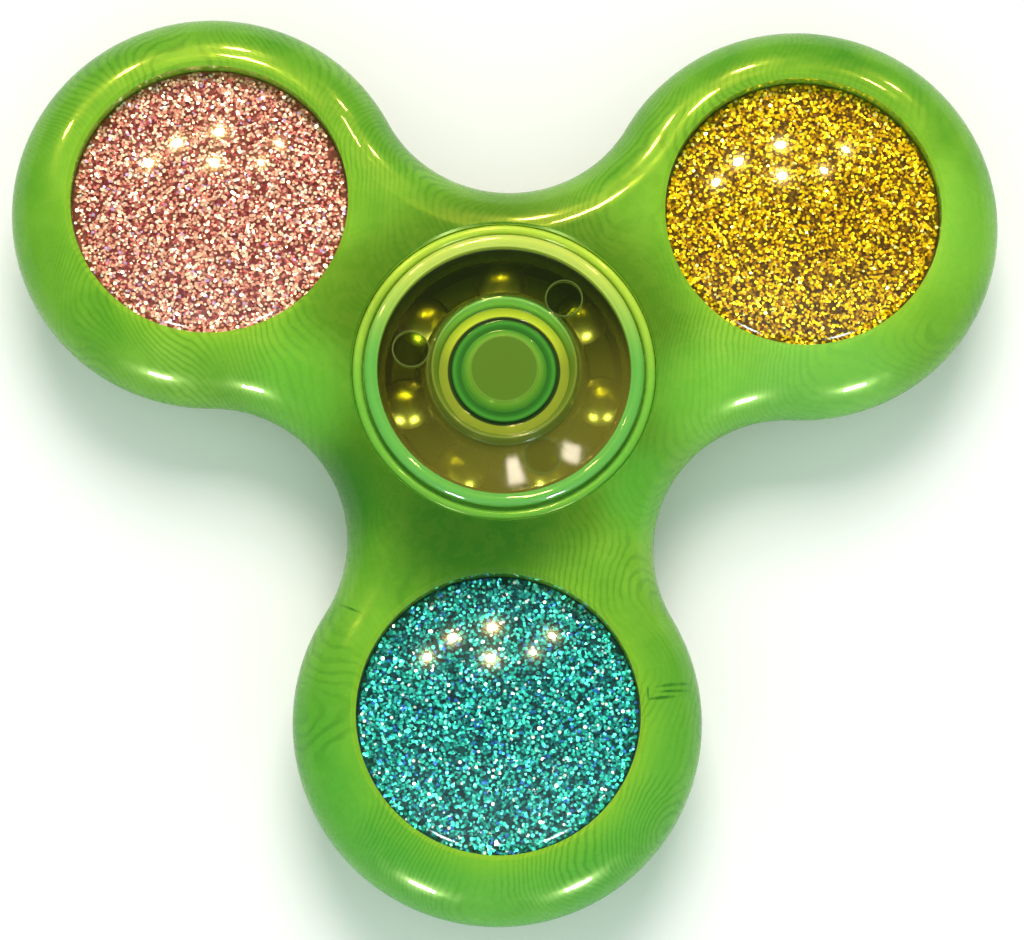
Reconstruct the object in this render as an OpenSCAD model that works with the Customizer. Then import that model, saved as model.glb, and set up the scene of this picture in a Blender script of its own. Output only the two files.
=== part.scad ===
// Three-lobed fidget spinner: a round-edged body turning on a ball bearing,
// with a glitter dome on each face of each lobe and a finger cap on each side of the hub.
// Millimetres. The origin is the hub centre at half thickness, and +Z is the spin axis.

/* [Body] */
// Distance from the hub axis to each lobe centre
lobe_distance = 25; // [24.5:0.1:26]
// Outer radius of each lobe
lobe_r = 14.7; // [14.2:0.1:15.5]
// Radius of the hollow curve between two lobes
neck_r = 10; // [9.5:0.1:11]
// Thickness of the body, which its fully rounded edge spans
body_t = 8.4; // [8:0.1:8.8]
// Bevel around the hub bore at each face
hub_bevel = 0.15; // [0.05:0.05:0.3]
// Width of the bevel around each lobe pocket
pocket_bevel_w = 0.56; // [0.2:0.02:0.7]
// Depth of the bevel around each lobe pocket
pocket_bevel_h = 0.45; // [0.2:0.05:0.6]

/* [Lobe stacks] */
// Radius of the through pocket in each lobe
pocket_r = 10.1; // [9.8:0.05:10.3]
// Thickness of the weight in the middle of each lobe
weight_t = 4.4; // [3.6:0.1:4.6]
// Thickness of each glitter layer
glitter_t = 0.8; // [0.5:0.1:0.8]
// Height of a dome's crown above the mid-plane
dome_top = 6.5; // [6.2:0.1:7]
// Radius of the dome's spherical crown
dome_sphere_r = 17; // [16:0.5:19]
// Radius of the roll at the dome's edge
dome_edge_r = 1.5; // [1:0.1:1.8]

/* [Bearing] */
// Outside diameter of the bearing
bearing_od = 22; // [22:0.5:22.5]
// Bore of the bearing
bearing_bore = 8; // [7.8:0.1:8.1]
// Width of the bearing
bearing_w = 7; // [6.6:0.1:7.2]
// Ball diameter
ball_d = 3.969; // [3.9:0.001:4]
// Radius of the circle through the ball centres
ball_circle_r = 7.25; // [7.2:0.01:7.3]
// Angle of the first ball
ball_start = 92; // [0:1:360]
// Running clearance between a ball and its grooves
groove_gap = 0.045; // [0.02:0.005:0.07]

/* [Finger caps] */
// Outer radius of a cap
cap_r = 10.1; // [9.9:0.05:10.3]
// Height of a cap's rounded rim above the mid-plane
cap_rim_top = 4.7; // [4.6:0.05:4.9]
// Radius of the cap's central boss at its foot
boss_r = 5.5; // [5.3:0.05:5.7]
// Height of the boss's lip above the mid-plane
boss_top = 5.1; // [5:0.05:5.3]
// Height of the finger button above the mid-plane
button_top = 4.7; // [4.6:0.05:4.8]
// Radius of the axle pin's shank
pin_r = 2.5; // [2.3:0.05:2.6]

/* [Hidden] */
$fn = 96;
eps = 0.05;
half_t = body_t / 2;
// The edge's arc is a little larger than half the thickness, so that it meets both faces at an angle.
edge_r = 1.02 * half_t;
colours = ["rose", "gold", "teal"];
lobe_angles = [150, 30, 270];
ball_r = ball_d / 2;
// A bearing of this size runs on seven balls.
ball_count = 7;

// The centre of each hollow curve lies between two lobes and touches both.
reach = lobe_r + neck_r;
neck_distance = (lobe_distance + sqrt(4 * reach ^ 2 - 3 * lobe_distance ^ 2)) / 2;
// Each hollow reaches this far into the lobes beside it, so that the round edges cross there.
seam = 0.06;
hollow_r = neck_r + seam;
lobe_sweep = 360 - 2 * atan2(neck_distance * sin(60), lobe_distance - neck_distance / 2);
// How far the square-edged blank stands proud of the finished body.
margin = 0.3;

// The dome's spherical crown runs into the rolled edge where the two arcs share a tangent.
glitter_top = weight_t / 2 + glitter_t;
dome_r = pocket_r - 0.05;
crown_z = dome_top - dome_sphere_r;
roll_x = dome_r - dome_edge_r;
roll_z = crown_z + sqrt((dome_sphere_r - dome_edge_r) ^ 2 - roll_x ^ 2);
roll_join = roll_x * dome_sphere_r / (dome_sphere_r - dome_edge_r);

// Bearing rings, cage and shield.
outer_land_r = 8.6;
inner_land_r = 6;
shield_seat_r = 9.2;
shield_seat_depth = 0.9;
groove_r = ball_r + groove_gap;
ring_bevel = 0.3;
cage_inner_r = 6.45;
cage_outer_r = 8.15;
cage_back = -2.55;
cage_front = 0.9;
cage_pocket_r = ball_r + 0.13;
shield_inner_r = 6.35;
shield_t = 0.45;
shield_back = -bearing_w / 2 + 0.1;

// Finger caps.
cap_under = bearing_w / 2 + 0.3;
rim_r = (cap_rim_top - cap_under) / 2;
rim_x = cap_r - rim_r;
dish_edge_z = cap_rim_top - 0.3;
dish_floor_z = cap_rim_top - 0.5;
// The boss is a lip around a cup, and the button stands in a shallow well in the cup's floor.
boss_lip_r = boss_r - 0.25;
cup_top_r = boss_r - 0.4;
cup_floor_r = boss_r - 0.78;
cup_floor_z = bearing_w / 2 + 0.35;
well_r = 4.05;
well_z = cup_floor_z - 0.1;
seat_r = 5.4;
sleeve_r = bearing_bore / 2 - 0.03;
sleeve_end = 0.1;
pin_head_r = 3.85;
pin_head_top = cup_floor_z + 0.1;
button_foot_r = 3;
button_face_r = 2.45;
pin_end = -bearing_w / 2 + 0.4;
socket_end = pin_end - 0.1;
mark_angles = [52, 168, 294.5];
mark_circle_r = 6.9;
mark_r = 1.37;
mark_h = 0.1;

// Places its children at lobe number i, with +X pointing away from the hub.
module at_lobe(i) {
    rotate(lobe_angles[i]) translate([lobe_distance, 0, 0]) children();
}

// Turns its children over, from the front of the spinner to the back.
module on_back() {
    mirror([0, 0, 1]) children();
}

// Cuts everything beyond the round edge of a lobe, all the way from one neck to the next.
module outside_lobe() {
    rotate(-lobe_sweep / 2) rotate_extrude(angle = lobe_sweep) difference() {
        translate([lobe_r - edge_r, -body_t]) square([edge_r + 2 * margin, 2 * body_t]);
        translate([lobe_r - edge_r, 0]) circle(edge_r);
    }
}

// Cuts the hollow around a neck centre, leaving a round edge that curves in between two lobes.
module neck_hollow() {
    rotate_extrude() difference() {
        translate([0, -body_t]) square([hollow_r + edge_r, 2 * body_t]);
        translate([hollow_r + edge_r, 0]) circle(edge_r);
    }
}

// The uncut body: a square-edged web between the three lobes, each a little larger than when finished.
module blank() {
    corners = [for (a = [30 : 60 : 330])
        (a % 120 == 30 ? lobe_distance : neck_distance) * [cos(a), sin(a)]];
    translate([0, 0, -half_t]) linear_extrude(body_t) {
        polygon(corners);
        for (a = lobe_angles) rotate(a) translate([lobe_distance, 0]) circle(lobe_r + margin);
    }
}

// A bore through the body, opened out by a bevel of width w and height h at both faces.
module bevelled_bore(r, w, h) {
    cylinder(r = r, h = body_t + 2, center = true);
    for (side = [0, 1]) mirror([0, 0, side]) translate([0, 0, half_t - h])
        cylinder(r1 = r, r2 = r + 2 * w, h = 2 * h);
}

module body() {
    color([0.36, 0.68, 0.16]) difference() {
        blank();
        for (i = [0 : 2]) at_lobe(i) outside_lobe();
        for (a = [90 : 120 : 330]) rotate(a) translate([neck_distance, 0, 0]) neck_hollow();
        for (i = [0 : 2]) at_lobe(i) bevelled_bore(pocket_r, pocket_bevel_w, pocket_bevel_h);
        bevelled_bore(bearing_od / 2, hub_bevel, hub_bevel);
    }
}

// Clear dome with a flat underside, a spherical crown and a rolled edge.
module lens(i) {
    color([0.9, 0.95, 0.92, 0.4]) at_lobe(i) rotate_extrude() {
        intersection() {
            translate([0, crown_z]) circle(dome_sphere_r);
            translate([0, glitter_top]) square([roll_join, dome_top]);
        }
        intersection() {
            translate([roll_x, roll_z]) circle(dome_edge_r);
            translate([roll_join, glitter_top]) square([dome_edge_r, dome_top]);
        }
    }
}

// Layer of resin and glitter flakes that lies on the weight.
module glitter(i, tint) {
    color(tint) at_lobe(i) translate([0, 0, weight_t / 2]) cylinder(r = dome_r, h = glitter_t);
}

// Round steel weight that fills the middle of a lobe's pocket.
module weight(i) {
    color([0.6, 0.6, 0.62]) at_lobe(i) cylinder(r = pocket_r, h = weight_t, center = true);
}

// Section of a bearing ring between two radii, with its bevelled edges on the side away from the balls.
module ring_section(r_from, r_to, bevel_r) {
    inward = bevel_r < ball_circle_r ? 1 : -1;
    difference() {
        translate([r_from, -bearing_w / 2]) square([r_to - r_from, bearing_w]);
        for (side = [0, 1]) mirror([0, side]) polygon([
            [bevel_r - inward, bearing_w / 2 - ring_bevel - 1],
            [bevel_r - inward, bearing_w / 2 + 1],
            [bevel_r + inward * (ring_bevel + 1), bearing_w / 2 + 1],
        ]);
    }
}

module bearing_outer_race() {
    color([0.55, 0.56, 0.55]) rotate_extrude() difference() {
        ring_section(outer_land_r, bearing_od / 2, bearing_od / 2);
        translate([ball_circle_r, 0]) circle(groove_r);
        for (side = [0, 1]) mirror([0, side])
            translate([outer_land_r - 1, bearing_w / 2 - shield_seat_depth])
                square([shield_seat_r - outer_land_r + 1, shield_seat_depth + 1]);
    }
}

module bearing_inner_race() {
    color([0.55, 0.56, 0.55]) rotate_extrude() difference() {
        ring_section(bearing_bore / 2, inner_land_r, bearing_bore / 2);
        translate([ball_circle_r, 0]) circle(groove_r);
    }
}

// Crown cage: a ring at the back with a snap-in pocket around each ball.
module bearing_cage() {
    color([0.16, 0.12, 0.07]) difference() {
        translate([0, 0, cage_back]) cylinder(r = cage_outer_r, h = cage_front - cage_back);
        translate([0, 0, cage_back - 1]) cylinder(r = cage_inner_r, h = cage_front - cage_back + 2);
        for (i = [1 : ball_count]) at_ball(i) sphere(cage_pocket_r);
    }
}

module bearing_shield_back() {
    color([0.2, 0.19, 0.15]) translate([0, 0, shield_back]) difference() {
        cylinder(r = shield_seat_r, h = shield_t);
        translate([0, 0, -1]) cylinder(r = shield_inner_r, h = shield_t + 2);
    }
}

// Places its children at the centre of ball number i.
module at_ball(i) {
    rotate(ball_start + (i - 1) * 360 / ball_count) translate([ball_circle_r, 0, 0]) children();
}

module bearing_ball(i) {
    color([0.75, 0.76, 0.74]) at_ball(i) sphere(ball_r);
}

// The button in the middle of each hub face, standing on a round head.
module button() {
    translate([0, 0, well_z]) cylinder(r = pin_head_r, h = pin_head_top - well_z);
    translate([0, 0, pin_head_top]) cylinder(r1 = button_foot_r, r2 = button_face_r, h = button_top - pin_head_top);
}

// Dished disc with a rounded rim and a hollow boss, and a sleeve that centres it in the bearing.
module cap_shell() {
    difference() {
        rotate_extrude() {
            translate([rim_x, cap_under + rim_r]) circle(rim_r);
            polygon([
                [0, sleeve_end], [sleeve_r, sleeve_end], [sleeve_r, bearing_w / 2],
                [seat_r, bearing_w / 2], [seat_r, cap_under], [rim_x, cap_under], [rim_x, dish_edge_z],
                [boss_r, dish_floor_z], [boss_lip_r, boss_top], [cup_top_r, boss_top],
                [cup_floor_r, cup_floor_z], [0, cup_floor_z],
            ]);
        }
        translate([0, 0, well_z]) cylinder(r = well_r, h = 2);
    }
    for (a = mark_angles) rotate(a) translate([mark_circle_r, 0, cap_under - mark_h])
        cylinder(r = mark_r, h = mark_h + eps);
}

module cap_front() {
    color([0.55, 0.75, 0.2, 0.5]) difference() {
        cap_shell();
        cylinder(r = pin_r, h = 2 * boss_top, center = true);
    }
}

// The back cap carries its own button and a blind socket for the pin.
module cap_back() {
    color([0.55, 0.75, 0.2, 0.5]) on_back() difference() {
        union() {
            cap_shell();
            button();
        }
        cylinder(r = pin_r, h = -2 * socket_end, center = true);
    }
}

module axle_pin() {
    color([0.4, 0.7, 0.22, 0.6]) {
        button();
        translate([0, 0, pin_end]) cylinder(r = pin_r, h = well_z - pin_end + eps);
    }
}

body();
for (i = [0 : 2]) {
    tint = [[0.78, 0.42, 0.4], [0.75, 0.58, 0.1], [0.05, 0.5, 0.5]][i];
    lens(i);
    glitter(i, tint);
    weight(i);
    on_back() glitter(i, tint);
    on_back() lens(i);
}
bearing_outer_race();
bearing_inner_race();
bearing_cage();
bearing_shield_back();
for (i = [1 : ball_count])
    bearing_ball(i);
cap_front();
cap_back();
axle_pin();
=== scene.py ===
"""Looks of the three-lobed fidget spinner: a glossy translucent green body, three glitter domes on
each face, and a clear finger cap over the ball bearing. Lengths are in millimetres until mesh_piece
and the scene helpers turn them into metres."""
import math

import bpy
import numpy as np
from mathutils import Matrix, Vector
from mathutils.geometry import delaunay_2d_cdt

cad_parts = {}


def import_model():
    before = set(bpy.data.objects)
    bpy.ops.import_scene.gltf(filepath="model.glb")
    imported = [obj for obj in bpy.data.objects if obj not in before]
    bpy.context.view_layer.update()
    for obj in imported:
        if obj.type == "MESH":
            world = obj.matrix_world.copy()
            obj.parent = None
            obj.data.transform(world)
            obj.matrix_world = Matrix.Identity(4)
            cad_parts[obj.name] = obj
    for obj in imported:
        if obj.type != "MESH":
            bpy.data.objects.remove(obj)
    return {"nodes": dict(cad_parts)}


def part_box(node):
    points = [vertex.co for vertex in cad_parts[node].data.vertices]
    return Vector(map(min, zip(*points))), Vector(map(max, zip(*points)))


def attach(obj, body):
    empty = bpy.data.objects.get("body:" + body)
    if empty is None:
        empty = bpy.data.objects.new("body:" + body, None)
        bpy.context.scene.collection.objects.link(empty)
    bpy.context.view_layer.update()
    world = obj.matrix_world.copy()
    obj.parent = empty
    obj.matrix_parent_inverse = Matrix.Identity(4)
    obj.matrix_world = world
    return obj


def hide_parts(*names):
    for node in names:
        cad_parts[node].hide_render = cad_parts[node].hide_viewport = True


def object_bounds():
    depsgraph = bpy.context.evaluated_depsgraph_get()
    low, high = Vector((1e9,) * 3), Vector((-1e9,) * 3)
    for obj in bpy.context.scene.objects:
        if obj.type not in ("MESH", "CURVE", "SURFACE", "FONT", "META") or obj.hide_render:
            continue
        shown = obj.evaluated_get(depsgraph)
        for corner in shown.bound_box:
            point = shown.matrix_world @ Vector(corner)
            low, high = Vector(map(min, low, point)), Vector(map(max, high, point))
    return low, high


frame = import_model()
cad_low, cad_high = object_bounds()

MM = 0.001
COLOURS = ("rose", "gold", "teal")


def node_box(node):
    """Lowest and highest corner of a CAD node, in millimetres."""
    low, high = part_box(node)
    return np.array(low) / MM, np.array(high) / MM


def node_centre(node):
    low, high = node_box(node)
    return (low + high) / 2


# ---------------------------------------------------------------- sizes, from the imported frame
body_low, body_high = node_box("body")
HALF_T = body_high[2]
LOBES = {c: node_centre(f"lens_front_{c}")[:2] for c in COLOURS}
LOBE_DISTANCE = float(np.mean([np.hypot(*p) for p in LOBES.values()]))
LOBE_R = -body_low[1] - LOBE_DISTANCE
lens_low, lens_high = node_box("lens_front_teal")
DOME_BASE, DOME_TOP = lens_low[2], lens_high[2]
POCKET_R = node_box("weight_teal")[1][0]
WEIGHT_TOP = node_box("weight_teal")[1][2]
BORE_R = node_box("bearing_outer_race")[1][0]
RACE_TOP = node_box("bearing_outer_race")[1][2]
cap_low, cap_high = node_box("cap_front")
CAP_R, BOSS_TOP, SLEEVE_END = cap_high[0], cap_high[2], cap_low[2]
BUTTON_TOP = node_box("axle_pin")[1][2]
PIN_END = node_box("axle_pin")[0][2]
FLOOR_Z = cad_low[2] / MM

NECK_R = 10.0
EDGE_R = HALF_T
LIP_W = LOBE_R - EDGE_R - POCKET_R - 0.05
LIP_H = 0.2
HUB_BEVEL = 0.15
DOME_R = POCKET_R - 0.05
DOME_SPHERE_R = 17.0
DOME_EDGE_R = 1.5
BED_TOP = DOME_BASE - 0.25
FLAKE_COUNT = 9600
FLAKE_R = 0.118
FLAKE_T = 0.04
# Spread of the flakes' tilt, in radians.
FLAKE_TILT = 0.16


# ---------------------------------------------------------------- meshes
WELD = 1e-4


class Builder:
    """Collects vertices and faces in millimetres, with a normal for every face corner."""

    def __init__(self):
        self.points, self.faces, self.normals = [], [], []

    def add(self, points, faces, normals):
        """normals holds one normal for each point, used at every corner that these faces have there."""
        start = len(self.points)
        self.points.extend(points)
        for face in faces:
            self.faces.append([start + i for i in face])
            self.normals.extend([normals[i] for i in face])

    def grid(self, rows, normals):
        """A sheet of quads through rows of points. Each row is a ring."""
        count, width = len(rows), len(rows[0])
        points = [p for row in rows for p in row]
        flat_normals = [n for row in normals for n in row]
        faces = []
        for i in range(count - 1):
            for j in range(width):
                k = (j + 1) % width
                faces.append((i * width + j, i * width + k, (i + 1) * width + k, (i + 1) * width + j))
        self.add(points, faces, flat_normals)


def mesh_piece(name, builder):
    """A mesh object in metres made from a Builder, with its own corner normals. Points that round to the
    same place are joined, and faces that close up on themselves are left out."""
    points = np.array(builder.points, float)
    _, first, index = np.unique(np.round(points / WELD).astype(np.int64), axis=0, return_index=True,
                                return_inverse=True)
    points, index = points[first], index.ravel()
    faces, normals, corner = [], [], 0
    for face in builder.faces:
        ring, ring_normals = [], []
        for offset, old in enumerate(face):
            joined = int(index[old])
            if not ring or (joined != ring[-1] and not (offset == len(face) - 1 and joined == ring[0])):
                ring.append(joined)
                ring_normals.append(builder.normals[corner + offset])
        corner += len(face)
        if len(ring) > 2:
            faces.append(ring)
            normals.extend(ring_normals)
    mesh = bpy.data.meshes.new(name)
    mesh.from_pydata([tuple(p) for p in points * MM], [], faces)
    mesh.polygons.foreach_set("use_smooth", [True] * len(mesh.polygons))
    mesh.normals_split_custom_set([tuple(n) for n in normals])
    piece = bpy.data.objects.new(name, mesh)
    bpy.context.scene.collection.objects.link(piece)
    return piece


def arc(centre, radius, start, end, steps):
    """Points along an arc in degrees, both ends included."""
    angles = np.radians(np.linspace(start, end, steps + 1))
    return np.column_stack([centre[0] + radius * np.cos(angles), centre[1] + radius * np.sin(angles)])


def revolve(builder, profile, centre=(0.0, 0.0), steps=192, side=1, smooth_below=32.0):
    """Turns a profile of (radius, z) points about the axis through centre. The solid lies on the right of
    the profile as it runs. Corners that turn by less than smooth_below degrees are shaded as one surface.
    side is -1 for the back."""
    profile = np.array(profile, float)
    segments = np.diff(profile, axis=0)
    lengths = np.hypot(segments[:, 0], segments[:, 1])
    keep = lengths > 1e-6
    lengths = lengths[keep]
    segments = segments[keep] / lengths[:, None]
    points = np.vstack([profile[:-1][keep], profile[-1]])
    outward = np.column_stack([-segments[:, 1], segments[:, 0]])
    turns = np.degrees(np.arccos(np.clip((outward[1:] * outward[:-1]).sum(1), -1, 1)))
    angles = np.linspace(0, 2 * math.pi, steps, endpoint=False)
    cos, sin = np.cos(angles), np.sin(angles)

    def ring(point):
        return np.column_stack([centre[0] + point[0] * cos, centre[1] + point[0] * sin,
                                np.full(steps, side * point[1])])

    def ring_normals(normal):
        return np.column_stack([normal[0] * cos, normal[0] * sin, np.full(steps, side * normal[1])])

    for i, direction in enumerate(outward):
        ends = []
        for corner, other in ((i - 1, i - 1), (i, i + 1)):
            joined = 0 <= corner < len(turns) and turns[corner] < smooth_below
            # Long faces keep their own slope, and the short ones between them take up the bend.
            normal = lengths[i] * direction + lengths[other] * outward[other] if joined else direction
            ends.append(normal / np.linalg.norm(normal))
        rows = [ring(points[i]), ring(points[i + 1])]
        normals = [ring_normals(n) for n in ends]
        if side > 0:
            rows, normals = [r[::-1] for r in rows], [n[::-1] for n in normals]
        builder.grid(rows, normals)


def round_profile(centre, radius, start, end, steps):
    """Profile points on an arc whose angle is measured from the outward direction, in degrees."""
    return [tuple(p) for p in arc(centre, radius, start, end, steps)]


# ---------------------------------------------------------------- body
REACH = LOBE_R + NECK_R
NECK_DISTANCE = (LOBE_DISTANCE + math.sqrt(4 * REACH ** 2 - 3 * LOBE_DISTANCE ** 2)) / 2
NECK_TURN = math.degrees(math.atan2(NECK_DISTANCE * math.sin(math.radians(60)),
                                    LOBE_DISTANCE - NECK_DISTANCE / 2))
HUB_LIP_R = BORE_R + HUB_BEVEL
LOBE_ANGLES = (30.0, 150.0, 270.0)


def polar(radius, degrees):
    """Points at a radius from the hub axis, or from any centre that is added to them."""
    angle = np.radians(degrees)
    return np.column_stack([radius * np.cos(angle), radius * np.sin(angle)])


class Edge:
    """The body's round edge: stations round its plan outline, counter-clockwise, one third after another.
    A third runs from the middle of a neck, round a lobe, to the middle of the next neck. A station stands
    on a lobe's circle or in a neck's hollow. In the middle of a neck the hub bore cuts its arc short."""
    LOBE_STEPS, NECK_STEPS = 110, 20

    def __init__(self):
        reach = NECK_R + EDGE_R
        cosine = (NECK_DISTANCE ** 2 + reach ** 2 - HUB_LIP_R ** 2) / (2 * NECK_DISTANCE * reach)
        cut_off, half_neck = math.degrees(math.acos(cosine)), 120 - NECK_TURN
        half = np.concatenate([np.linspace(0, cut_off, self.NECK_STEPS + 1),
                               np.linspace(cut_off, half_neck, self.NECK_STEPS + 1)[1:-1]])
        lobe = np.linspace(NECK_TURN - 180, 180 - NECK_TURN, self.LOBE_STEPS + 1)
        centres, units, signs = [], [], []
        for angle in LOBE_ANGLES:
            for distance, from_hub, swing, sign in ((NECK_DISTANCE, angle - 60, 180 - half, -1),
                                                    (LOBE_DISTANCE, angle, lobe, 1),
                                                    (NECK_DISTANCE, angle + 60, 180 + half[:0:-1], -1)):
                units.append(polar(1, from_hub + swing))
                centres.append(np.repeat(polar(distance, [from_hub]), len(swing), axis=0))
                signs.append(np.full(len(swing), sign))
        self.centres, self.units, self.signs = np.vstack(centres), np.vstack(units), np.concatenate(signs)
        self.third = len(self.signs) // 3
        along = -(self.centres * self.units).sum(1)
        beside = HUB_LIP_R ** 2 - (NECK_DISTANCE ** 2 - along ** 2)
        met = (self.signs < 0) & (beside > 0)
        depth = np.where(met, along - np.sqrt(np.maximum(beside, 0)) - NECK_R, EDGE_R)
        self.top_turn = np.arccos(1 - np.clip(depth, 0, EDGE_R) / EDGE_R)

    def row(self, share):
        """Points and normals all round, at a share of the way from the top of each arc to its bottom."""
        turn = self.top_turn * (1 - 2 * share)
        inset = EDGE_R * (1 - np.cos(turn))
        radius = np.where(self.signs > 0, LOBE_R - inset, NECK_R + inset)
        plan = self.centres + radius[:, None] * self.units
        normals = np.column_stack([self.units * (self.signs * np.cos(turn))[:, None], np.sin(turn)])
        return np.column_stack([plan, EDGE_R * np.sin(turn)]), normals


def face_fill(builder, boundary, hole, side):
    """A flat face inside the boundary and outside the round hole."""
    edges = [(i, (i + 1) % len(boundary)) for i in range(len(boundary))]
    edges += [(len(boundary) + i, len(boundary) + (i + 1) % len(hole)) for i in range(len(hole))]
    points = np.vstack([boundary, hole])
    _, _, faces, sources, _, _ = delaunay_2d_cdt([Vector(p) for p in points], edges, [], 1, 1e-6)
    kept = []
    for face in faces:
        corners = [sources[i][0] for i in face]
        if min(corners) >= len(boundary):
            continue
        a, b, c = points[corners[:3]]
        upward = (b[0] - a[0]) * (c[1] - a[1]) > (b[1] - a[1]) * (c[0] - a[0])
        kept.append(corners if upward == (side > 0) else corners[::-1])
    builder.add([(x, y, side * HALF_T) for x, y in points], kept, [(0, 0, side)] * len(points))


def bore_wall(builder, rim, centre, width, depth):
    """A round bore's wall, between bevels of this width and depth whose lips are the points of rim."""
    heights = rim[:, 2]
    spokes = rim[:, :2] - centre
    units = spokes / np.linalg.norm(spokes, axis=1)[:, None]
    wall = rim[:, :2] - width * units
    rings = [np.column_stack(pair) for pair in ((rim[:, :2], -heights), (wall, depth - heights),
                                                (wall, heights - depth), (rim[:, :2], heights))]
    slope = math.hypot(width, depth)
    for low, high, lean in zip(rings, rings[1:], (-width / slope, 0.0, width / slope)):
        inward = -math.sqrt(1 - lean ** 2)
        normals = np.column_stack([inward * units, np.full(len(units), lean)])
        builder.grid([low[::-1], high[::-1]], [normals[::-1]] * 2)


def build_body():
    builder = Builder()
    edge = Edge()
    rows, normals = zip(*(edge.row(share) for share in np.linspace(0, 1, 41)))
    builder.grid([r[::-1] for r in rows], [n[::-1] for n in normals])
    hub_rim = []
    for third, angle in enumerate(LOBE_ANGLES):
        stations = np.arange(third * edge.third, (third + 1) * edge.third + 1) % (3 * edge.third)
        start, end = edge.NECK_STEPS, len(stations) - 1 - edge.NECK_STEPS
        top = rows[0][stations]
        first, last = (math.degrees(math.atan2(top[i, 1], top[i, 0])) for i in (start, end))
        hub_arc = polar(HUB_LIP_R, np.linspace(first, first + (last - first) % 360, 49)[1:-1])
        hub_arc = np.column_stack([hub_arc, np.full(len(hub_arc), HALF_T)])
        hub_rim += [top[:start + 1], hub_arc, top[end:-1]]
        centre = polar(LOBE_DISTANCE, [angle])
        lip = polar(POCKET_R + LIP_W, np.linspace(0, 360, 160, endpoint=False)) + centre
        for side in (1, -1):
            face_fill(builder, np.vstack([top[start:end + 1], hub_arc[::-1]])[:, :2], lip, side)
        bore_wall(builder, np.column_stack([lip, np.full(len(lip), HALF_T)]), centre, LIP_W, LIP_H)
    bore_wall(builder, np.vstack(hub_rim), np.zeros(2), HUB_BEVEL, HUB_BEVEL)
    # The resin's rolled rim lies over the bearing's edge, clear of the cap.
    foot, crest = RACE_TOP + 0.02, HALF_T - 0.15
    inner, outer = CAP_R + 0.12, BORE_R - 0.01
    middle, half, rise = (inner + outer) / 2, (outer - inner) / 2, crest - foot
    roll = [(middle - half * math.cos(a), foot + rise * math.sin(a) ** 0.7)
            for a in np.radians(np.linspace(0, 180, 19))]
    for side in (1, -1):
        revolve(builder, roll + [(inner, foot)], steps=256, side=side, smooth_below=60)
    return mesh_piece("body_shell", builder)


# ---------------------------------------------------------------- lobe stacks
def dome_profile(base, top):
    """Crown, rolled edge and flat underside of a dome, from the axis out and back."""
    crown = top - DOME_SPHERE_R
    roll_x = DOME_R - DOME_EDGE_R
    inner = DOME_SPHERE_R - DOME_EDGE_R
    roll_z = crown + math.sqrt(inner ** 2 - roll_x ** 2)
    tilt = math.degrees(math.asin(roll_x / inner))
    foot = math.degrees(math.asin((base - roll_z) / DOME_EDGE_R))
    profile = round_profile((0, crown), DOME_SPHERE_R, 90, 90 - tilt, 40)
    profile += round_profile((roll_x, roll_z), DOME_EDGE_R, 90 - tilt, foot, 16)[1:]
    profile.append((0.0, base))
    return profile


def build_dome(name, centre, side):
    builder = Builder()
    revolve(builder, dome_profile(DOME_BASE, DOME_TOP), centre, steps=160, side=side)
    return mesh_piece(name, builder)


def build_glitter_bed(name, centre, side):
    """The resin layer that the flakes lie in, a little lower than the dome's flat underside."""
    builder = Builder()
    profile = [(0.0, BED_TOP), (DOME_R, BED_TOP), (DOME_R, WEIGHT_TOP), (0.0, WEIGHT_TOP)]
    revolve(builder, profile, centre, steps=128, side=side)
    return mesh_piece(name, builder)


def build_flakes(name, centre, side, seed):
    """Thin six-sided flakes, each tilted its own way, strewn over the resin layer. A flake is a plate that
    comes to a shallow point on its hidden side."""
    rng = np.random.default_rng(seed)
    builder = Builder()
    reach = DOME_R - 0.16
    low, high = BED_TOP + 0.02, DOME_BASE - 0.08
    corners = np.radians(np.arange(6) * 60)
    for _ in range(FLAKE_COUNT):
        r, a = reach * math.sqrt(rng.random()), 2 * math.pi * rng.random()
        size = FLAKE_R * rng.uniform(0.75, 1.25)
        tilt, lean, spin = abs(rng.normal(0, FLAKE_TILT)), 2 * math.pi * rng.random(), math.pi * rng.random()
        normal = np.array([math.sin(tilt) * math.cos(lean), math.sin(tilt) * math.sin(lean), math.cos(tilt)])
        across = np.cross(normal, [math.cos(spin), math.sin(spin), 0.0])
        across /= np.linalg.norm(across)
        along = np.cross(normal, across)
        z = rng.uniform(low, high)
        middle = np.array([centre[0] + r * math.cos(a), centre[1] + r * math.sin(a), z])
        ring = middle + size * (np.outer(np.cos(corners), across) + np.outer(np.sin(corners), along))
        points = np.vstack([ring, middle - FLAKE_T * normal])
        faces = [(0, 1, 2, 3, 4, 5)] + [(6, (i + 1) % 6, i) for i in range(6)]
        points[:, 2] *= side
        normal[2] *= side
        if side < 0:
            faces = [face[::-1] for face in faces]
        builder.add(points, faces[:1], [normal] * 7)
        builder.add(points, faces[1:], [-normal] * 7)
    return mesh_piece(name, builder)


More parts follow.
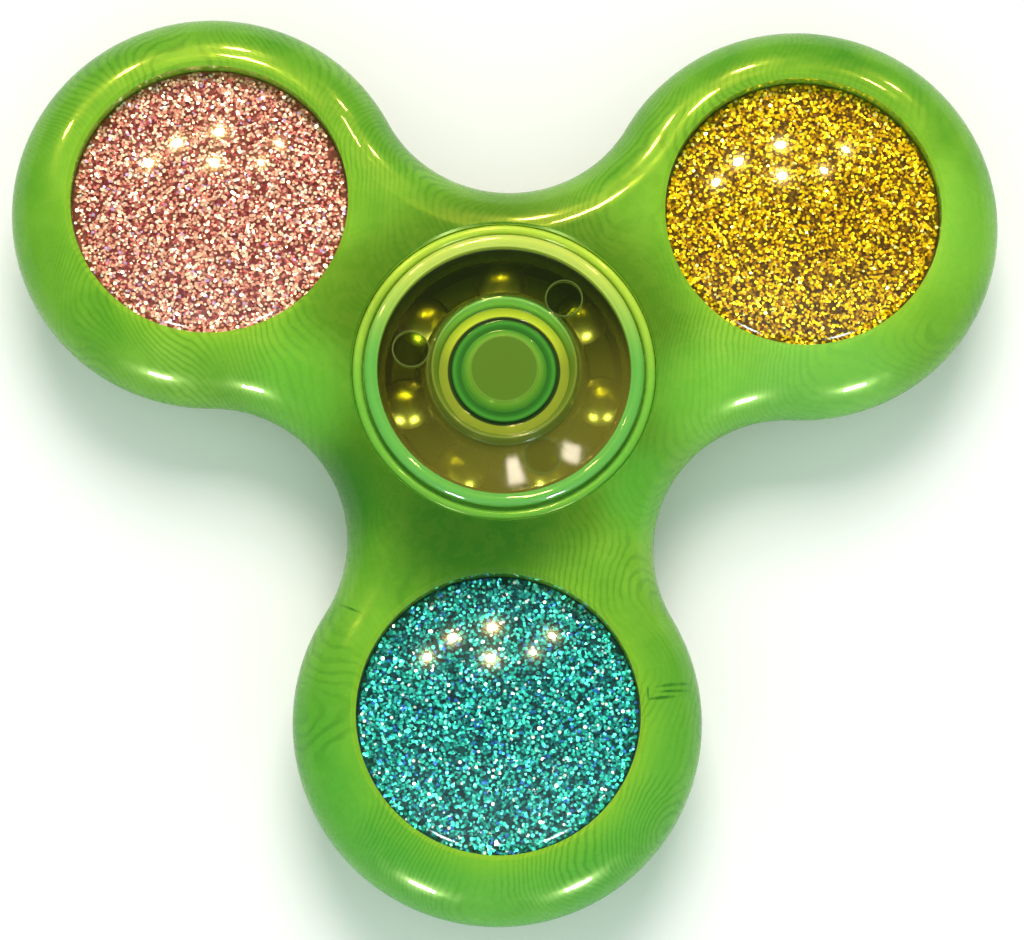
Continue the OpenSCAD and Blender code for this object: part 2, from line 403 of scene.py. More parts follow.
# ---------------------------------------------------------------- hub
CAP_UNDER = RACE_TOP + 0.3
CAP_RIM_TOP = 4.7
RIM_R = (CAP_RIM_TOP - CAP_UNDER) / 2
RIM_X = CAP_R - RIM_R
DISH_EDGE_R = RIM_X - 0.75
DISH_EDGE_Z = CAP_RIM_TOP - 0.34
DISH_FLOOR_Z = CAP_RIM_TOP - 0.48
BOSS_R = 5.5
BOSS_LIP_R = BOSS_R - 0.25
CUP_TOP_R = BOSS_R - 0.4
CUP_FLOOR_R = BOSS_R - 0.78
CUP_FLOOR_Z = RACE_TOP + 0.35
WELL_R = 4.05
WELL_Z = CUP_FLOOR_Z - 0.1
SEAT_R = 5.4
SLEEVE_R = 3.97
PIN_R = 2.5
PIN_HEAD_R = 3.8
PIN_HEAD_TOP = CUP_FLOOR_Z + 0.1
BUTTON_FOOT_R = 3.0
BUTTON_FACE_R = 2.45
MARK_ANGLES = (52, 168, 294.5)
MARK_CIRCLE_R = 6.9
MARK_R = 1.37
MARK_H = 0.1


def soften(profile, radius, steps=4):
    """Rounds the inner corners of a profile with small arcs, as moulded plastic has."""
    profile = [np.array(p, float) for p in profile]
    out = [profile[0]]
    for before, corner, after in zip(profile, profile[1:], profile[2:]):
        a, b = before - corner, after - corner
        la, lb = np.linalg.norm(a), np.linalg.norm(b)
        turn = math.acos(np.clip((a @ b) / (la * lb), -1, 1))
        if turn > math.radians(172):
            out.append(corner)
            continue
        cut = min(radius / math.tan(turn / 2), 0.45 * la, 0.45 * lb)
        start, end = corner + a / la * cut, corner + b / lb * cut
        for t in np.linspace(0, 1, steps + 1):
            out.append((1 - t) ** 2 * start + 2 * t * (1 - t) * corner + t ** 2 * end)
    out.append(profile[-1])
    return [tuple(p) for p in out]


def cap_profile(hole_r):
    """The cap's section, from its hole over the cup, boss and dish, round the rim and back below."""
    rim = round_profile((RIM_X, CAP_UNDER + RIM_R), RIM_R, 140, -90, 24)
    top = [(hole_r, WELL_Z), (WELL_R, WELL_Z), (WELL_R, CUP_FLOOR_Z), (CUP_FLOOR_R, CUP_FLOOR_Z),
           (CUP_TOP_R, BOSS_TOP), (BOSS_LIP_R, BOSS_TOP), (BOSS_R, DISH_FLOOR_Z),
           (DISH_EDGE_R, DISH_EDGE_Z)]
    below = [(SEAT_R, CAP_UNDER), (SEAT_R, RACE_TOP), (SLEEVE_R, RACE_TOP), (SLEEVE_R, SLEEVE_END),
             (hole_r, SLEEVE_END)]
    return soften(top + rim[:1], 0.07)[:-1] + rim + below


def marks():
    """Middles of the three ejector marks."""
    return [(*polar(MARK_CIRCLE_R, [angle])[0], 0.0) for angle in MARK_ANGLES]


def build_cap(name, side):
    builder = Builder()
    revolve(builder, cap_profile(PIN_R) + [(PIN_R, WELL_Z)], side=side)
    for x, y, _ in marks():
        disc = [(0.0, CAP_UNDER + 0.02), (MARK_R, CAP_UNDER + 0.02), (MARK_R, CAP_UNDER - MARK_H),
                (0.0, CAP_UNDER - MARK_H)]
        revolve(builder, disc, (x, y), steps=64, side=side)
    return mesh_piece(name, builder)


def build_pin():
    builder = Builder()
    profile = [(0.0, PIN_END), (PIN_R - 0.2, PIN_END), (PIN_R, PIN_END + 0.2), (PIN_R, WELL_Z),
               (PIN_HEAD_R, WELL_Z), (PIN_HEAD_R, PIN_HEAD_TOP), (BUTTON_FOOT_R, PIN_HEAD_TOP),
               (BUTTON_FACE_R, BUTTON_TOP), (0.0, BUTTON_TOP)]
    revolve(builder, soften(profile, 0.08)[::-1], steps=128)
    return mesh_piece("axle_pin_shell", builder)


def build_back_button():
    """The back cap's own button, moulded in one with its round head."""
    builder = Builder()
    profile = [(0.0, WELL_Z), (PIN_HEAD_R, WELL_Z), (PIN_HEAD_R, PIN_HEAD_TOP),
               (BUTTON_FOOT_R, PIN_HEAD_TOP), (BUTTON_FACE_R, BUTTON_TOP), (0.0, BUTTON_TOP)]
    revolve(builder, soften(profile, 0.08)[::-1], steps=128, side=-1)
    return mesh_piece("cap_back_button", builder)


# ---------------------------------------------------------------- materials
class Graph:
    """A material's node tree, with short calls for the nodes used here."""

    def __init__(self, name):
        self.material = bpy.data.materials.new(name)
        self.material.use_nodes = True
        self.tree = self.material.node_tree
        self.tree.nodes.clear()
        self.output = self.tree.nodes.new("ShaderNodeOutputMaterial")

    def node(self, kind, **settings):
        made = self.tree.nodes.new("ShaderNode" + kind)
        for key, value in settings.items():
            setattr(made, key, value)
        return made

    def plug(self, socket, value):
        if isinstance(value, bpy.types.NodeSocket):
            self.tree.links.new(value, socket)
        elif value is not None:
            socket.default_value = value

    def math(self, operation, *values):
        made = self.node("Math", operation=operation)
        for socket, value in zip(made.inputs, values):
            self.plug(socket, value)
        return made.outputs[0]

    def vector(self, operation, *values):
        made = self.node("VectorMath", operation=operation)
        slots = list(made.inputs)
        if operation == "SCALE":
            slots = [made.inputs[0], made.inputs["Scale"]]
        for socket, value in zip(slots, values):
            self.plug(socket, value)
        return made.outputs["Value" if operation in ("LENGTH", "DISTANCE", "DOT_PRODUCT") else "Vector"]

    def mix(self, factor, a, b):
        made = self.node("Mix", data_type="RGBA")
        self.plug(made.inputs["Factor"], factor)
        self.plug([s for s in made.inputs if s.name == "A" and s.type == "RGBA"][0], a)
        self.plug([s for s in made.inputs if s.name == "B" and s.type == "RGBA"][0], b)
        return [s for s in made.outputs if s.type == "RGBA"][0]

    def span(self, value, low, high, to_low=0.0, to_high=1.0):
        made = self.node("MapRange", interpolation_type="SMOOTHSTEP")
        for key, number in (("Value", value), ("From Min", low), ("From Max", high), ("To Min", to_low),
                            ("To Max", to_high)):
            self.plug(made.inputs[key], number)
        return made.outputs["Result"]

    def ramp(self, value, stops, interpolation="LINEAR"):
        made = self.node("ValToRGB")
        made.color_ramp.interpolation = interpolation
        elements = made.color_ramp.elements
        while len(elements) < len(stops):
            elements.new(0.5)
        for element, (place, colour) in zip(elements, stops):
            element.position = place
            element.color = (*colour, 1.0) if len(colour) == 3 else colour
        self.plug(made.inputs["Fac"], value)
        return made.outputs["Color"]

    def noise(self, vector, scale, detail=2.0, roughness=0.5, output="Fac"):
        made = self.node("TexNoise", noise_dimensions="3D")
        self.plug(made.inputs["Vector"], vector)
        for key, number in (("Scale", scale), ("Detail", detail), ("Roughness", roughness)):
            made.inputs[key].default_value = number
        return made.outputs[output]

    def bump(self, height, strength, distance):
        made = self.node("Bump")
        made.inputs["Strength"].default_value = strength
        made.inputs["Distance"].default_value = distance
        self.plug(made.inputs["Height"], height)
        return made.outputs["Normal"]

    def swing(self, colour, reach):
        """A noise colour turned into a shift of up to half of reach each way."""
        return self.vector("SCALE", self.vector("SUBTRACT", colour, (0.5, 0.5, 0.5)), reach)

    def split(self, vector):
        parts = self.node("SeparateXYZ")
        self.plug(parts.inputs[0], vector)
        return parts.outputs[0], parts.outputs[1], parts.outputs[2]

    def scratch(self, place, start, end, width):
        """A soft-ended stroke on the front, from start to end."""
        start, end = Vector(start), Vector(end)
        middle, along = (start + end) / 2, (end - start) / 2
        turned = self.node("VectorRotate", rotation_type="Z_AXIS")
        self.plug(turned.inputs["Vector"], self.vector("SUBTRACT", place, (*middle, HALF_T)))
        turned.inputs["Angle"].default_value = -math.atan2(along.y, along.x)
        reach = self.vector("LENGTH", self.vector("DIVIDE", turned.outputs[0], (along.length, width, HALF_T)))
        return self.span(reach, 0.45, 1.1, 0.75, 0.0)

    def radius(self, place):
        """Distance from the spin axis."""
        return self.vector("LENGTH", self.vector("MULTIPLY", place, (1.0, 1.0, 0.0)))

    def blend(self, factor, a, b):
        made = self.node("MixShader")
        for socket, value in zip(made.inputs, (factor, a, b)):
            self.plug(socket, value)
        return made.outputs[0]

    def place(self):
        """Object coordinates in millimetres."""
        return self.vector("SCALE", self.node("TexCoord").outputs["Object"], 1 / MM)

    def principled(self, **inputs):
        made = self.node("BsdfPrincipled")
        for key, value in inputs.items():
            self.plug(made.inputs[key.replace("_", " ")], value)
        return made

    def finish(self, shader):
        self.tree.links.new(shader, self.output.inputs["Surface"])
        return self.material


def linear(r, g, b):
    """A colour given as eight-bit screen values."""
    return tuple((c / 255 / 12.92) if c / 255 <= 0.04045 else ((c / 255 + 0.055) / 1.055) ** 2.4
                 for c in (r, g, b)) + (1.0,)


GRAIN_PERIOD = 0.5
GRAIN_WEIGHT = 0.34
# Strokes in the resin: start, end and width.
SCRATCHES = (((10.9, -22.95), (14.0, -22.3), 0.16), ((11.0, -23.3), (14.0, -22.85), 0.13),
             ((10.4, -23.85), (12.8, -23.45), 0.15), ((10.55, -22.8), (10.6, -23.9), 0.1),
             ((-11.7, -17.0), (-9.8, -18.0), 0.12))
# Patches of lighter and darker green, partly the resin's cloudy tone and partly painted light and shade:
# place, reach, weight and colour.
TONE_AND_LIGHT_PATCHES = (((33.0, 11.5), 7.0, 0.55, (142, 206, 70)), ((23.0, -0.8), 9.0, 0.5, (128, 208, 92)),
           ((14.2, -1.5), 6.0, 0.45, (124, 208, 72)), ((-14.5, -1.5), 6.0, 0.45, (122, 204, 66)),
           ((10.2, -8.5), 5.0, 0.5, (96, 188, 66)), ((-11.9, 6.2), 5.0, 0.5, (84, 130, 26)))


def body_material():
    """Green resin with a wavy grain of fine dark lines, cloudy light and dark patches, and a gloss coat."""
    g = Graph("body_resin")
    place = g.place()
    # The grain's lines are contours of a field that runs across the body and is bent by slow noise.
    bend = g.swing(g.noise(place, 0.075, 1.0, output="Color"), 17.0)
    ripple = g.swing(g.noise(place, 0.9, 1.0, output="Color"), 0.35)
    x, _, z = g.split(g.vector("ADD", g.vector("ADD", place, bend), ripple))
    across = g.math("ADD", x, g.math("MULTIPLY", z, 0.35))
    wave = g.math("SINE", g.math("MULTIPLY", across, 2 * math.pi / GRAIN_PERIOD))
    presence = g.span(g.noise(place, 0.16, 2.0), 0.38, 0.62, 0.12, 1.0)
    line = g.math("MULTIPLY", g.span(wave, -0.2, 1.0), presence)
    # Slow patches of light and dark green; lime next to the discs, a painted glow; and deep green
    # between hub and disc, which is painted shade.
    cloud = g.noise(g.vector("MULTIPLY", place, (1.0, 0.8, 1.0)), 0.11, 3.0, 0.55)
    base = g.ramp(cloud, [(0.30, linear(80, 150, 38)), (0.45, linear(104, 168, 44)),
                          (0.58, linear(121, 180, 52)), (0.72, linear(138, 192, 64))])
    _, y, _ = g.split(place)
    base = g.mix(g.span(y, -12.0, -36.0, 0.0, 0.7), base, linear(84, 176, 62))
    for centre in LOBES.values():
        reach = g.vector("DISTANCE", place, (*centre, HALF_T))
        rim = g.span(reach, POCKET_R + 0.3, POCKET_R + 2.2, 1.0, 0.0)
        # Lime round each disc, patchy with the cloud: a painted glow.
        patchy_painted_glow = g.math("MULTIPLY", rim, g.span(cloud, 0.35, 0.65, 0.15, 0.55))
        base = g.mix(patchy_painted_glow, base, linear(140, 196, 52))
        # A thin bright line on each pocket's lip: a painted highlight.
        lip = g.span(reach, POCKET_R + LIP_W, POCKET_R + LIP_W + 0.1, 0.6, 0.0)
        base = g.mix(lip, base, linear(142, 190, 48))
    # Painted shade: darker green round the hub and below it, and a painted shadow on the neck left of it.
    painted_shade_round_hub = g.span(g.vector("DISTANCE", place, (0, 0, HALF_T)), BORE_R, BORE_R + 5.0, 0.7, 0.0)
    base = g.mix(painted_shade_round_hub, base, linear(70, 108, 20))
    painted_shade_below_hub = g.span(g.vector("DISTANCE", place, (-2.0, -BORE_R, HALF_T)), 3.0, 10.0, 0.9, 0.0)
    base = g.mix(painted_shade_below_hub, base, linear(38, 100, 26))
    painted_shadow_left_of_hub = g.span(g.vector("DISTANCE", place, (-12.5, -9.5, 0.7 * HALF_T)), 1.0, 5.5, 0.75, 0.0)
    base = g.mix(painted_shadow_left_of_hub, base, linear(18, 100, 34))
    # The rolled rim over the bearing is painted light: brighter yellow on the far side, mint on the near
    # side.
    roll = g.mix(g.span(y, -4.0, 8.0), linear(118, 184, 66), linear(190, 222, 74))
    base = g.mix(g.span(g.radius(place), BORE_R - 0.02, BORE_R + 0.05, 1.0, 0.0), base, roll)
    line = g.math("MULTIPLY", line, g.span(g.radius(place), BORE_R - 0.02, BORE_R + 0.05, 0.0, GRAIN_WEIGHT))
    base = g.mix(line, base, linear(42, 116, 30))
    smudge = g.span(g.noise(place, 1.6, 2.0), 0.3, 0.6, 0.55, 1.0)
    for start, end, width in SCRATCHES:
        stroke = g.math("MULTIPLY", g.scratch(place, start, end, width), smudge)
        base = g.mix(stroke, base, linear(20, 104, 30))
    # Patches of tone, partly painted light and shade.
    for spot, reach, weight, colour in TONE_AND_LIGHT_PATCHES:
        near = g.span(g.vector("DISTANCE", place, (*spot, 0.7 * HALF_T)), 0.3 * reach, reach, weight, 0.0)
        base = g.mix(near, base, linear(*colour))
    roughness = g.span(g.noise(place, 1.3, 4.0), 0.3, 0.7, 0.2, 0.34)
    shade = g.principled(Base_Color=base, Roughness=roughness)
    shade.inputs["IOR"].default_value = 1.4
    shade.inputs["Specular Tint"].default_value = (0.5, 0.62, 0.14, 1)
    shade.inputs["Coat Weight"].default_value = 0.24
    shade.inputs["Coat Roughness"].default_value = 0.03
    shade.inputs["Subsurface Weight"].default_value = 0.25
    shade.inputs["Subsurface Radius"].default_value = (0.5, 1.0, 0.2)
    shade.inputs["Subsurface Scale"].default_value = 1.5 * MM
    return g.finish(shade.outputs[0])


def clear_shader(g, tint, haze=0.0, haze_colour=(1, 1, 1, 1), bloom=0.0, bending=1.5, normal=None):
    """Clear plastic that bends no light: tinted see-through, with a mirror share that grows towards the
    edge. bloom is the part of the mirror that spreads a soft glow round each reflection."""
    through = g.node("BsdfTransparent")
    g.plug(through.inputs["Color"], tint)
    solid = g.principled(Base_Color=haze_colour, Roughness=0.35)
    solid.inputs["IOR"].default_value = 1.2
    body = g.blend(haze, through.outputs[0], solid.outputs[0])
    mirrors = []
    for roughness in (0.02, 0.16):
        mirror = g.node("BsdfGlossy")
        mirror.inputs["Roughness"].default_value = roughness
        g.plug(mirror.inputs["Normal"], normal)
        mirrors.append(mirror.outputs[0])
    fresnel = g.node("Fresnel")
    fresnel.inputs["IOR"].default_value = bending
    facing = g.math("SUBTRACT", 1.0, g.node("NewGeometry").outputs["Backfacing"])
    share = g.math("MULTIPLY", fresnel.outputs[0], facing)
    return g.blend(share, body, g.blend(bloom, *mirrors) if bloom else mirrors[0])


def dome_material():
    g = Graph("dome_resin")
    place = g.place()
    scratches = g.noise(g.vector("MULTIPLY", place, (1.0, 5.0, 1.0)), 1.1, 3.0)
    normal = g.bump(scratches, 0.03, 0.02 * MM)
    return g.finish(clear_shader(g, (0.97, 0.98, 0.97, 1), bloom=0.3, bending=1.62, normal=normal))


GLITTER = {
    "rose": [(0.0, linear(140, 42, 50)), (0.15, linear(186, 88, 84)), (0.33, linear(224, 146, 124)),
             (0.56, linear(252, 192, 160)), (0.8, linear(255, 226, 196)), (0.93, linear(255, 248, 238)),
             (0.975, linear(200, 160, 220))],
    "gold": [(0.0, linear(92, 56, 0)), (0.18, linear(160, 110, 0)), (0.38, linear(220, 168, 0)),
             (0.6, linear(250, 206, 6)), (0.87, linear(255, 240, 40)), (0.965, linear(255, 250, 150))],
    "teal": [(0.0, linear(0, 60, 70)), (0.2, linear(6, 112, 116)), (0.42, linear(26, 160, 146)),
             (0.66, linear(46, 202, 184)), (0.85, linear(104, 238, 222)), (0.925, linear(236, 255, 250)),
             (0.95, linear(44, 112, 214))],
}
SHEEN = {"rose": (1.0, 0.7, 0.6, 1), "gold": (1.0, 0.8, 0.15, 1), "teal": (0.3, 0.95, 0.95, 1)}


def flake_material(colour):
    """Foil flakes whose brightness differs from flake to flake: partly the glitter's own mix of tones, partly
    painted glints in the brightest, near-white flakes.
    """
    g = Graph(f"flakes_{colour}")
    chance = g.node("NewGeometry").outputs["Random Per Island"]
    base = g.ramp(chance, GLITTER[colour], "CONSTANT")
    shade = g.principled(Base_Color=base, Roughness=0.26)
    shade.inputs["Metallic"].default_value = 0.35
    shade.inputs["Specular Tint"].default_value = SHEEN[colour]
    return g.finish(shade.outputs[0])


def bed_material(colour):
    g = Graph(f"glitter_bed_{colour}")
    cells = g.node("TexVoronoi", feature="F1")
    g.plug(cells.inputs["Vector"], g.place())
    cells.inputs["Scale"].default_value = 3.2
    dark, middle = (GLITTER[colour][i][1] for i in (0, 2))
    deep = tuple(c * 0.8 for c in dark[:3]) + (1.0,)
    base = g.mix(g.span(cells.outputs["Color"], 0.2, 0.9, 0.0, 0.25), deep, middle)
    shade = g.principled(Base_Color=base, Roughness=0.45)
    shade.inputs["Specular IOR Level"].default_value = 0.1
    return g.finish(shade.outputs[0])


def steel_material(name, colour, roughness, turned=True, painted_glow_colour=None):
    """Ground steel with fine turning lines round the spin axis. Beside the green bore it takes on the colour
    given
    last, if any: a painted glow that stands in for the green light the resin passes on."""
    g = Graph(name)
    place = g.place()
    radius = g.radius(place)
    rings = g.node("TexNoise", noise_dimensions="1D")
    g.plug(rings.inputs["W"], g.math("MULTIPLY", radius, 14.0))
    rings.inputs["Detail"].default_value = 2.0
    worn = tuple(c * 0.8 for c in colour[:3]) + (1,)
    base = g.mix(g.span(g.noise(place, 0.8, 3.0), 0.3, 0.7), colour, worn)
    metal = 1.0
    if painted_glow_colour:
        # Painted glow: beside the bore the steel turns green and less metallic.
        painted_bore_glow = g.span(radius, CAP_R - 0.4, CAP_R - 0.1)
        base = g.mix(painted_bore_glow, base, painted_glow_colour)
        metal = g.math("SUBTRACT", 1.0, g.math("MULTIPLY", painted_bore_glow, 0.7))
    finish = g.span(rings.outputs["Fac"], 0.3, 0.7, roughness, roughness * 1.6)
    shade = g.principled(Base_Color=base, Roughness=finish, Metallic=metal)
    if turned:
        g.plug(shade.inputs["Normal"], g.bump(rings.outputs["Fac"], 0.15, 0.02 * MM))
    return g.finish(shade.outputs[0])


def cage_material():
    g = Graph("cage_nylon")
    place = g.place()
    base = g.mix(g.noise(place, 1.4, 3.0), linear(56, 64, 26), linear(84, 86, 36))
    normal = g.bump(g.noise(place, 6.0, 2.0), 0.2, 0.03 * MM)
    shade = g.principled(Base_Color=base, Roughness=0.4, Normal=normal)
    return g.finish(shade.outputs[0])


def cap_material():
    """Clear yellow-green plastic, fuller in colour at its rim and boss, painted brighter on their far side,
    with a painted golden-brown reflection low in its dish and painted highlights outlining three ejector
    marks."""
    g = Graph("cap_plastic")
    place = g.place()
    flat = g.vector("MULTIPLY", place, (1.0, 1.0, 0.0))
    _, y, _ = g.split(place)
    ramp_end = 12.0
    share = g.math("DIVIDE", g.radius(place), ramp_end)
    # Radius, colour on the near side, colour on the far side, and share of haze. The two sides differ by
    # painted light: the boss and rim are brighter on the far side, the dish golden-brown on the near side as
    # a painted reflection; the dark stop at the well's edge is painted shade.
    stops = ((0.0, (110, 150, 40), (110, 150, 40), 0.6), (4.02, (30, 66, 22), (26, 60, 20), 0.8),
             (4.1, (160, 176, 46), (240, 250, 60), 0.85), (4.66, (154, 168, 46), (232, 244, 60), 0.85),
             (4.74, (96, 140, 36), (52, 136, 36), 0.75), (4.88, (110, 158, 46), (140, 228, 78), 0.75),
             (5.1, (140, 160, 52), (176, 240, 110), 0.75), (5.25, (136, 152, 48), (72, 160, 46), 0.7),
             (5.5, (124, 138, 44), (64, 132, 40), 0.6), (5.7, (162, 156, 56), (104, 130, 46), 0.0),
             (9.1, (154, 144, 50), (100, 124, 44), 0.0),
             (9.2, (122, 208, 90), (232, 246, 106), 0.7))
    near = g.ramp(share, [(r / ramp_end, linear(*rgb)) for r, rgb, _, _ in stops])
    far = g.ramp(share, [(r / ramp_end, linear(*rgb)) for r, _, rgb, _ in stops])
    # Near and far sides mixed by direction: painted light.
    colour = g.mix(g.span(g.math("DIVIDE", y, g.radius(place)), 0.0, 0.9), near, far)
    haze = g.ramp(share, [(r / ramp_end, (h, h, h)) for r, _, _, h in stops])
    # A painted reflection: more golden-brown haze towards the dish's lower right.
    low_right = g.vector("DOT_PRODUCT", place, (0.35, -0.94, 0.0))
    painted_dish_reflection = g.math("MULTIPLY", g.span(low_right, -2.5, 8.5, 0.05, 0.36), g.span(haze, 0.3, 0.0))
    haze = g.math("ADD", haze, painted_dish_reflection)
    tint = linear(212, 221, 158)
    for spot in marks():
        reach = g.vector("DISTANCE", flat, spot)
        inside = g.span(reach, MARK_R - 0.1, MARK_R, 1.0, 0.0)
        haze = g.mix(inside, haze, g.math("MULTIPLY", haze, 0.75))
        tint = g.mix(inside, tint, linear(204, 216, 148))
        # A painted highlight outlines each mark's edge.
        gap = g.math("ABSOLUTE", g.math("SUBTRACT", reach, MARK_R - 0.05))
        ring = g.span(gap, 0.02, 0.07, 1.0, 0.0)
        haze = g.math("MAXIMUM", haze, g.math("MULTIPLY", ring, 0.42))
        colour = g.mix(ring, colour, linear(140, 160, 84))
    return g.finish(clear_shader(g, tint, haze=haze, haze_colour=colour))


def pin_material():
    g = Graph("pin_plastic")
    place = g.place()
    ramp_end = 4.0
    # Rings by radius: the bright ones on the button's slope and the head's outer part are painted highlights;
    # the dark ones at the slope's foot and the head's edge are painted shade.
    colour = g.ramp(g.math("DIVIDE", g.radius(place), ramp_end),
                    [(0.0, linear(100, 138, 34)), (0.58, linear(98, 140, 36)), (0.64, linear(150, 204, 70)),
                     (0.73, linear(104, 184, 60)), (0.78, linear(40, 116, 30)), (0.84, linear(48, 130, 36)),
                     (0.9, linear(76, 170, 54)), (0.95, linear(30, 92, 26))])
    return g.finish(clear_shader(g, linear(190, 220, 130), haze=0.8, haze_colour=colour))


# ---------------------------------------------------------------- building
body = build_body()
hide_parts("body")
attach(body, "rotor")
body.data.materials.append(body_material())

dome_look = dome_material()
seed = 11
all_flakes = []
for colour, centre in LOBES.items():
    flake_look, bed_look = flake_material(colour), bed_material(colour)
    for face, side in (("front", 1), ("back", -1)):
        dome = build_dome(f"dome_{face}_{colour}", centre, side)
        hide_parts(f"lens_{face}_{colour}")
        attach(dome, "rotor")
        dome.data.materials.append(dome_look)
        bed = build_glitter_bed(f"glitter_bed_{face}_{colour}", centre, side)
        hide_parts(f"glitter_{face}_{colour}")
        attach(bed, "rotor")
        bed.data.materials.append(bed_look)
        flakes = build_flakes(f"flakes_{face}_{colour}", centre, side, seed)
        seed += 1
        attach(flakes, "rotor")
        flakes.data.materials.append(flake_look)
        all_flakes.append(flakes)

cap_look = cap_material()
for face, side in (("front", 1), ("back", -1)):
    cap = build_cap(f"cap_shell_{face}", side)
    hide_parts(f"cap_{face}")
    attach(cap, "hub")
    cap.data.materials.append(cap_look)

pin_look = pin_material()
pin = build_pin()
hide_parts("axle_pin")
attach(pin, "hub")
pin.data.materials.append(pin_look)
button = build_back_button()
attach(button, "hub")
button.data.materials.append(pin_look)


def dress(node, material):
    """Gives a CAD node its material."""
    data = frame["nodes"][node].data
    data.materials.clear()
    data.materials.append(material)


race_look = steel_material("race_steel", linear(170, 172, 165), 0.16, painted_glow_colour=linear(120, 190, 70))
ball_look = steel_material("ball_steel", linear(255, 232, 160), 0.24, turned=False)
shield_look = steel_material("shield_steel", linear(124, 130, 68), 0.35)
weight_look = steel_material("weight_steel", linear(150, 150, 152), 0.3)
for node in ("bearing_outer_race", "bearing_inner_race"):
    dress(node, race_look)
for index in range(1, 8):
    dress(f"bearing_ball_{index}", ball_look)
dress("bearing_shield_back", shield_look)
dress("bearing_cage", cage_material())
for colour in COLOURS:
    dress(f"weight_{colour}", weight_look)


# ---------------------------------------------------------------- floor, light and camera
def floor():
    size = 2.0
    mesh = bpy.data.meshes.new("floor")
    z = (FLOOR_Z - 0.02) * MM
    corners = [(x * size, y * size, z) for x, y in ((-1, -1), (1, -1), (1, 1), (-1, 1))]
    mesh.from_pydata(corners, [], [(0, 1, 2, 3)])
    piece = bpy.data.objects.new("floor", mesh)
    bpy.context.scene.collection.objects.link(piece)
    g = Graph("floor_paper")
    base = g.mix(g.noise(g.place(), 0.02, 2.0), (0.97, 0.96, 0.98, 1), (0.99, 0.98, 1.0, 1))
    base = g.mix(g.node("LightPath").outputs["Is Camera Ray"], (0.7, 0.74, 0.7, 1), base)
    mesh.materials.append(g.finish(g.principled(Base_Color=base, Roughness=0.9).outputs[0]))
    return piece


def look_at(piece, target):
    piece.rotation_mode = "QUATERNION"
    piece.rotation_quaternion = (Vector(target) - piece.location).to_track_quat("-Z", "Y")


def lamp(name, kind, place, power, colour, diffuse=True):
    data = bpy.data.lights.new(name, kind)
    data.energy = power
    data.color = colour
    piece = bpy.data.objects.new(name, data)
    bpy.context.scene.collection.objects.link(piece)
    piece.location = Vector(place) * MM
    piece.visible_diffuse = diffuse
    return piece


def area_light(name, place, size, power, colour, target=(0, 0, 0), diffuse=True):
    piece = lamp(name, "AREA", place, power, colour, diffuse)
    piece.data.shape = "RECTANGLE"
    piece.data.size, piece.data.size_y = (s * MM for s in size)
    look_at(piece, Vector(target) * MM)
    return piece


def round_lamp(name, place, radius, power, colour):
    """A small round lamp that only shows in reflections."""
    piece = lamp(name, "POINT", place, power, colour, diffuse=False)
    piece.data.shadow_soft_size = radius * MM
    return piece


def dish_panel(name, spot, size, power, distance=600.0):
    """A small lit panel that the camera sees mirrored at this spot of the cap's dish."""
    spot = Vector((*spot, DISH_FLOOR_Z))
    rise = (DISH_EDGE_Z - DISH_FLOOR_Z) / (DISH_EDGE_R - BOSS_R)
    inward = -Vector((spot.x, spot.y, 0)).normalized()
    normal = (Vector((0, 0, 1)) + inward * rise).normalized()
    arriving = (spot - camera_place()).normalized()
    place = spot + arriving.reflect(normal) * distance
    area_light(name, place, size, power, CREAM, target=spot, diffuse=False)


def receivers(name, pieces, excluded=False):
    """A collection that limits a light to these pieces, or keeps it off them."""
    chosen = bpy.data.collections.new(name)
    for piece in pieces:
        chosen.objects.link(piece)
    if excluded:
        for entry in chosen.collection_objects:
            entry.light_linking.link_state = "EXCLUDE"
    return chosen


def direction(azimuth, zenith, distance):
    """A place at that distance from the hub, in degrees from +X and from +Z."""
    a, t = math.radians(azimuth), math.radians(zenith)
    return Vector((math.sin(t) * math.cos(a), math.sin(t) * math.sin(a), math.cos(t))) * distance


